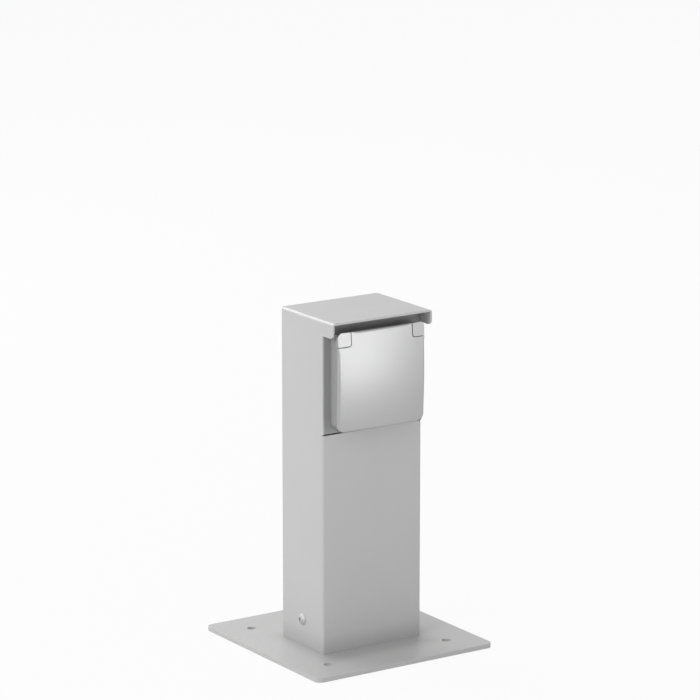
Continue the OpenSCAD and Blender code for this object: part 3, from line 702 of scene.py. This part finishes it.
class SocketPostOutlet(bpy.types.Operator):
    """Outlet behind the lid: cover, insert, contacts and safety shutter"""

    bl_idname = "socket_post.outlet"
    bl_label = "Socket Outlet"

    def execute(self, context):
        cover = coated("cover_plastic", finish().cover, 0.5, size=0.0008, bump=0.25)
        black = coated("shutter_plastic", (0.03, 0.03, 0.032), 0.45, size=0.0008)
        ivory = coated("insert_plastic", (0.78, 0.75, 0.68), 0.48, size=0.0009, bump=0.2)
        brass = metal("contact_brass", (0.75, 0.56, 0.25), 0.3)
        tin = metal("earth_contact", (0.66, 0.64, 0.6), 0.28)
        zinc = look("zinc_plate")
        dress("socket_cover", cover)
        dress("shutter", black)
        dress("insert_body", ivory)
        dress("earth_clip", tin)
        for node in ("contact_live", "contact_neutral"):
            dress(node, brass)
        for node in (
            "support_ring", "ring_rivets", "device_screws", "contact_screws", "cover_screw"
        ):
            dress(node, zinc)
        return {"FINISHED"}


class SocketPostLid(bpy.types.Operator):
    """Crowned lid with its hinge covers, seal and pin"""

    bl_idname = "socket_post.lid"
    bl_label = "Hinged Lid"

    def execute(self, context):
        silver = coated(
            "lid_plastic", finish().lid, 0.32, metal=0.78, size=0.0007, bump=0.12, tone=0.03
        )
        lid_shell(silver)
        for node in ("hinge_cover_left", "hinge_cover_right"):
            dress(node, silver)
        dress("lid_seal", look("black_rubber"))
        dress("hinge_pin", look("stainless"))
        return {"FINISHED"}


class SocketPostSprings(bpy.types.Operator):
    """Return spring round the hinge pin and the shutter's small spring"""

    bl_idname = "socket_post.springs"
    bl_label = "Springs"

    def execute(self, context):
        steel = look("stainless")
        wire = sizes().lid_wire
        turns = sizes().lid_turns
        pitch = wire + 0.2 * MM
        low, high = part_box("lid_spring")
        pin_low, pin_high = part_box("hinge_pin")
        axis_y = (pin_low.y + pin_high.y) / 2
        axis_z = (pin_low.z + pin_high.z) / 2
        radius = (pin_high.y - pin_low.y) / 2 + 0.3 * MM + wire / 2
        start_x = -turns * pitch / 2
        steps = int((turns + 0.25) * 24)
        coil = [(start_x, high.y - wire / 2, axis_z + radius)]
        for i in range(steps + 1):
            turned = math.radians(180 + i * 15)
            coil.append((
                start_x + i / 24 * pitch,
                axis_y + radius * math.sin(turned),
                axis_z - radius * math.cos(turned),
            ))
        rod("lid_spring_coil", coil, wire / 2, steel, "post", ["lid_spring"])
        end = Vector(coil[-1])
        leg = [end, end - Vector((0, 0, 2 * MM)), Vector((end.x, end.y, low.z + wire / 2))]
        rod("lid_spring_leg", leg, wire / 2, steel, "flap", ["lid_spring"])

        low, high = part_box("shutter_spring")
        thin = 0.25 * MM
        centre = Vector((0, (low.y + high.y) / 2 - 0.3 * MM, OUTLET_Z))
        loop = []
        for along, angle in [(-4, 20)] + [(0, 20 + i * 15) for i in range(25)] + [(4, 380)]:
            a = math.radians(angle)
            x = SHUTTER_RING * math.cos(a) - along * MM * math.sin(a)
            z = SHUTTER_RING * math.sin(a) + along * MM * math.cos(a)
            loop.append((
                centre.x + x, centre.y + (angle - 20) / 360 * 0.6 * MM, centre.z - z
            ))
        rod("shutter_spring_wire", loop, thin, steel, "post", ["shutter_spring"])
        return {"FINISHED"}


class SocketPostWiring(bpy.types.Operator):
    """Terminal block, earth stud and the three inner wires"""

    bl_idname = "socket_post.wiring"
    bl_label = "Wiring"

    def execute(self, context):
        zinc = look("zinc_plate")
        ivory = look("insert_plastic")
        brass = look("contact_brass")
        dress("terminal_block", ivory)
        dress("terminal_sleeves", brass)
        for node in (
            "terminal_rail", "terminal_screws", "block_screws",
            "earth_stud", "earth_washers", "earth_nut",
        ):
            dress(node, zinc)
        brown = coated("wire_brown", (0.16, 0.07, 0.035), 0.38, size=0.0009, tone=0.1)
        blue = coated("wire_blue", (0.03, 0.13, 0.42), 0.38, size=0.0009, tone=0.1)
        low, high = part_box("wire_earth")
        earth = striped_wire(
            "wire_green_yellow", (0.05, 0.3, 0.04, 1), (0.75, 0.6, 0.03, 1),
            (low.x + high.x) / 2,
        )
        for node, material, slot in (
            ("wire_live", brown, "wire_brown"),
            ("wire_neutral", blue, "wire_blue"),
            ("wire_earth", earth, "wire_green_yellow"),
        ):
            piece = softened(node, material, 0.0, 50.0)
        return {"FINISHED"}


def area_light(name, at, aim, size, power):
    """Rectangular lamp at a point, turned to face another."""
    lamp = bpy.data.lights.new(name, "AREA")
    lamp.shape = "RECTANGLE"
    lamp.size, lamp.size_y = size
    lamp.energy = power
    piece = bpy.data.objects.new(name, lamp)
    piece.location = at
    piece.rotation_euler = (Vector(aim) - Vector(at)).to_track_quat("-Z", "Y").to_euler()
    piece.visible_camera = False
    bpy.context.scene.collection.objects.link(piece)
    return piece


def seen_directly(tree):
    """1 for camera, glossy and transmission rays, else 0."""
    path = tree.nodes.new("ShaderNodeLightPath")
    total = math_node(tree, "ADD", path.outputs["Is Camera Ray"], path.outputs["Is Glossy Ray"])
    total = math_node(tree, "ADD", total, path.outputs["Is Transmission Ray"])
    return math_node(tree, "MINIMUM", total, 1.0)


class SocketPostStage(bpy.types.Operator):
    """White floor, soft studio light and the camera"""

    bl_idname = "socket_post.stage"
    bl_label = "Stage"

    def execute(self, context):
        scene = bpy.context.scene
        scene.view_settings.view_transform = "Standard"

        mesh = bpy.data.meshes.new("studio_floor")
        shape = bmesh.new()
        bmesh.ops.create_grid(shape, x_segments=8, y_segments=8, size=4.0)
        shape.to_mesh(mesh)
        shape.free()
        floor = bpy.data.objects.new("studio_floor", mesh)
        floor.location.z = -0.0002
        scene.collection.objects.link(floor)

        material = bpy.data.materials.new("studio_white")
        material.use_nodes = True
        tree = material.node_tree
        tree.nodes.clear()
        output = tree.nodes.new("ShaderNodeOutputMaterial")
        mix = tree.nodes.new("ShaderNodeMixShader")
        matt = tree.nodes.new("ShaderNodeBsdfDiffuse")
        glow = tree.nodes.new("ShaderNodeEmission")
        matt.inputs["Color"].default_value = (0.8, 0.8, 0.8, 1)
        glow.inputs["Strength"].default_value = 1.0
        share = math_node(tree, "MULTIPLY", seen_directly(tree), 0.93)
        tree.links.new(share, mix.inputs[0])
        tree.links.new(matt.outputs[0], mix.inputs[1])
        tree.links.new(glow.outputs[0], mix.inputs[2])
        tree.links.new(mix.outputs[0], output.inputs["Surface"])
        mesh.materials.append(material)

        world = bpy.data.worlds.new("studio")
        scene.world = world
        world.use_nodes = True
        tree = world.node_tree
        tree.nodes.clear()
        output = tree.nodes.new("ShaderNodeOutputWorld")
        background = tree.nodes.new("ShaderNodeBackground")
        background.inputs["Color"].default_value = (1, 1, 1, 1)
        coords = tree.nodes.new("ShaderNodeTexCoord")
        split = tree.nodes.new("ShaderNodeSeparateXYZ")
        tree.links.new(coords.outputs["Generated"], split.inputs[0])
        height = math_node(tree, "MAXIMUM", split.outputs["Z"], 0.0)
        sky = math_node(tree, "ADD", math_node(tree, "MULTIPLY", height, 0.59), 0.05)
        direct = seen_directly(tree)
        rest = math_node(tree, "SUBTRACT", 1.0, direct)
        level = math_node(tree, "ADD", direct, math_node(tree, "MULTIPLY", sky, rest))
        tree.links.new(level, background.inputs["Strength"])
        tree.links.new(background.outputs[0], output.inputs["Surface"])

        for name, at, size, power in LAMPS:
            area_light(name, at, STAGE_MIDDLE, size, power)
        area_light(*FLOOR_PANEL)

        azimuth = sizes().camera_azimuth
        elevation = sizes().camera_elevation
        distance = sizes().camera_distance
        target = Vector((1.35, 0, 216.9)) * MM
        lens = bpy.data.cameras.new("view")
        lens.sensor_width = 36
        lens.lens = sizes().camera_lens
        lens.clip_end = 50
        camera = bpy.data.objects.new("view", lens)
        camera.location = target + distance * Vector((
            math.sin(azimuth) * math.cos(elevation),
            -math.cos(azimuth) * math.cos(elevation),
            math.sin(elevation),
        ))
        camera.rotation_euler = (target - camera.location).to_track_quat("-Z", "Y").to_euler()
        scene.collection.objects.link(camera)
        scene.camera = camera
        return {"FINISHED"}


class SocketPostPanel(bpy.types.Panel):
    bl_idname = "VIEW3D_PT_socket_post"
    bl_label = "Garden Socket Post"
    bl_space_type = "VIEW_3D"
    bl_region_type = "UI"
    bl_category = "Socket Post"

    def draw(self, context):
        for group in (sizes(), finish()):
            for name in group.__annotations__:
                self.layout.prop(group, name)
        for step in STEPS:
            self.layout.operator(step.bl_idname)


STEPS = (
    SocketPostStage,
    SocketPostPlate,
    SocketPostShell,
    SocketPostCarrier,
    SocketPostOutlet,
    SocketPostLid,
    SocketPostSprings,
    SocketPostWiring,
)
CLASSES = (SocketPostSizes, SocketPostFinish, *STEPS, SocketPostPanel)


def register():
    for cls in CLASSES:
        bpy.utils.register_class(cls)
    bpy.types.Scene.socket_post_sizes = PointerProperty(type=SocketPostSizes)
    bpy.types.Scene.socket_post_finish = PointerProperty(type=SocketPostFinish)


def unregister():
    del bpy.types.Scene.socket_post_finish
    del bpy.types.Scene.socket_post_sizes
    for cls in reversed(CLASSES):
        bpy.utils.unregister_class(cls)


def main():
    register()
    bpy.ops.socket_post.stage()
    bpy.ops.socket_post.plate()
    bpy.ops.socket_post.shell()
    bpy.ops.socket_post.carrier()
    bpy.ops.socket_post.outlet()
    bpy.ops.socket_post.lid()
    bpy.ops.socket_post.springs()
    bpy.ops.socket_post.wiring()


if __name__ == "__main__":
    main()
